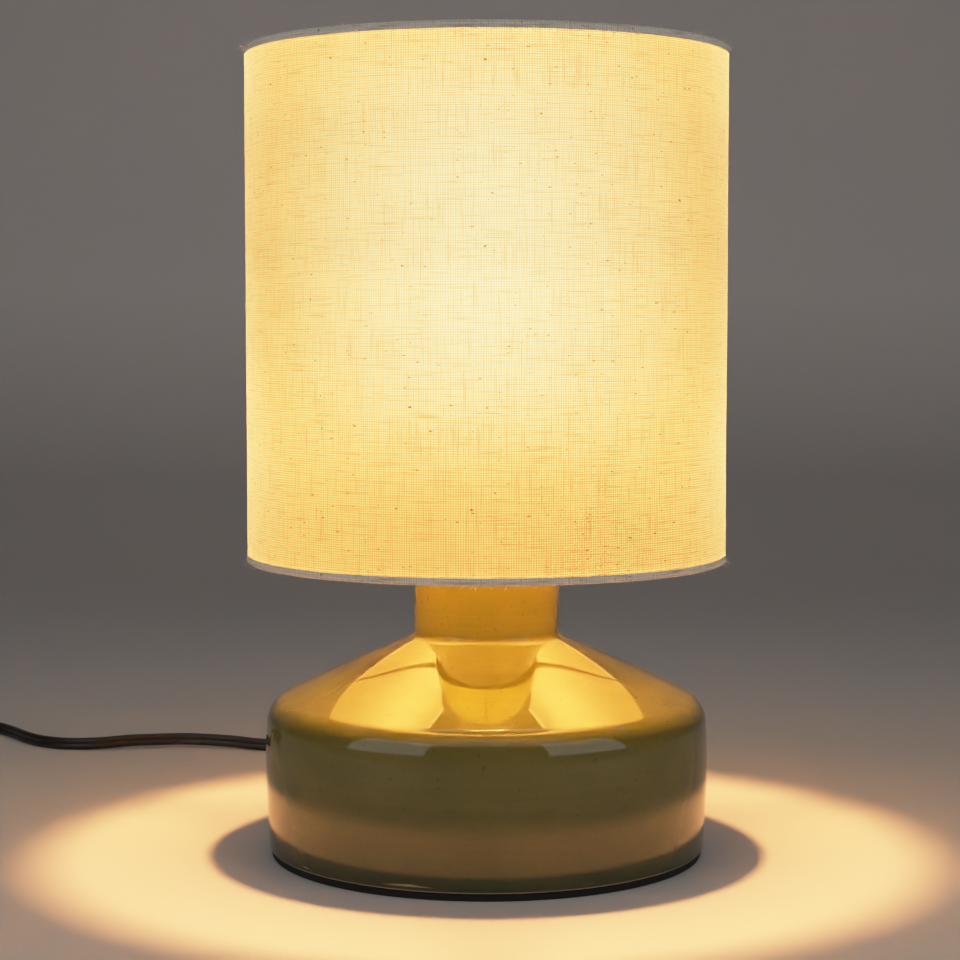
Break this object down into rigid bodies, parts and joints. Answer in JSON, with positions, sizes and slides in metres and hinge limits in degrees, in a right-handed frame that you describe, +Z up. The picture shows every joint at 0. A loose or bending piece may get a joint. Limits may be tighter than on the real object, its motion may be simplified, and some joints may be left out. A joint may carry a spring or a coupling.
{
  "type": "table lamp",
  "caption": "Table lamp with a squat glazed ceramic base, a straight linen drum shade and a black cord with an inline switch.",
  "frame": {"origin": "centre of the base pad's underside, on the surface that the lamp stands on", "axes": "+Z up along the lamp's axis, -Y towards the front, the cord leaves at the back along +Y"},
  "size_m": [0.4312, 0.3481, 0.3015],
  "materials": {
    "glaze": "gloss",
    "foam": "matt",
    "zinc": "satin",
    "white_plastic": "satin",
    "core_ceramic": "matt",
    "brass": "satin",
    "black_plastic": "satin",
    "cord_sheath": "satin",
    "nickel": "gloss",
    "solder": "satin",
    "bulb_glass": "clear",
    "filament": "matt",
    "linen": "woven",
    "shade_film": "matt",
    "white_wire": "satin",
    "grey_fibre": "matt"
  },
  "bodies": {
    "base": {"ceramic_body": "glaze", "base_pad": "foam", "neck_washer": "zinc", "neck_nut": "zinc", "threaded_tube": "zinc", "neck_cup": "brass", "holder_base": "white_plastic", "holder_boss": "white_plastic", "holder_shell": "white_plastic", "holder_core": "core_ceramic", "screw_shell": "brass", "centre_contact": "brass", "terminal_screw_left": "brass", "terminal_screw_right": "brass", "terminal_wire_left": "black_plastic", "terminal_wire_right": "black_plastic", "cord_gland": "black_plastic", "gland_keeper": "zinc", "cord_clip": "black_plastic", "clip_screw": "zinc", "inner_cord": "cord_sheath", "cord_lead": "cord_sheath", "cord_run": "cord_sheath", "cord_coil": "cord_sheath", "cord_tail": "cord_sheath", "coil_tie": "black_plastic", "switch_base": "black_plastic", "switch_cover": "black_plastic", "rocker_pin": "zinc", "switch_contact": "brass", "switch_screw_left": "zinc", "switch_screw_right": "zinc", "plug_body": "black_plastic", "plug_pin_left": "nickel", "plug_pin_right": "nickel"},
    "shade": {"shade_fabric": "linen", "shade_liner": "shade_film", "bottom_hem": "linen", "bottom_hoop": "white_wire", "top_hem": "linen", "top_hoop": "white_wire", "shade_hub": "white_wire", "spider_arm_1": "white_wire", "spider_arm_2": "white_wire", "spider_arm_3": "white_wire"},
    "gasket": {"collar_gasket": "grey_fibre"},
    "collar": {"shade_collar": "white_plastic"},
    "bulb_tip": {"bulb_contact": "solder"},
    "bulb": {"bulb_seal": "black_plastic", "bulb_cap": "nickel", "bulb_driver": "grey_fibre", "bulb_glass": "bulb_glass", "bulb_stem": "bulb_glass", "filament_1": "filament", "filament_2": "filament", "filament_3": "filament", "filament_4": "filament"},
    "rocker": {"switch_rocker": "black_plastic"}
  },
  "joints": [
    {"name": "shade_lift", "type": "slide", "parent": "base", "child": "shade", "axis": [0, 0, 1], "range_m": [0, 0.13]},
    {"name": "collar_rise", "type": "slide", "parent": "shade", "child": "gasket", "axis": [0, 0, 1], "range_m": [0, 0.008]},
    {"name": "collar_turn", "type": "hinge", "parent": "gasket", "child": "collar", "pos_m": [0, 0, 0.1586], "axis": [0, 0, 1], "range_deg": [0, 1440]},
    {"name": "bulb_rise", "type": "slide", "parent": "base", "child": "bulb_tip", "axis": [0, 0, 1], "range_m": [0, 0.01815]},
    {"name": "bulb_turn", "type": "hinge", "parent": "bulb_tip", "child": "bulb", "pos_m": [0, 0, 0.173], "axis": [0, 0, 1], "range_deg": [0, 1800]},
    {"name": "rocker_tilt", "type": "hinge", "parent": "base", "child": "rocker", "pos_m": [0.014, 0.193, 0.0136], "axis": [0, 1, 0], "range_deg": [0, 14]}
  ],
  "couplings": [
    {"joint": "collar_rise", "follows": "collar_turn", "m_per_rad": 0.00031831},
    {"joint": "bulb_rise", "follows": "bulb_turn", "m_per_rad": 0.00057757}
  ]
}
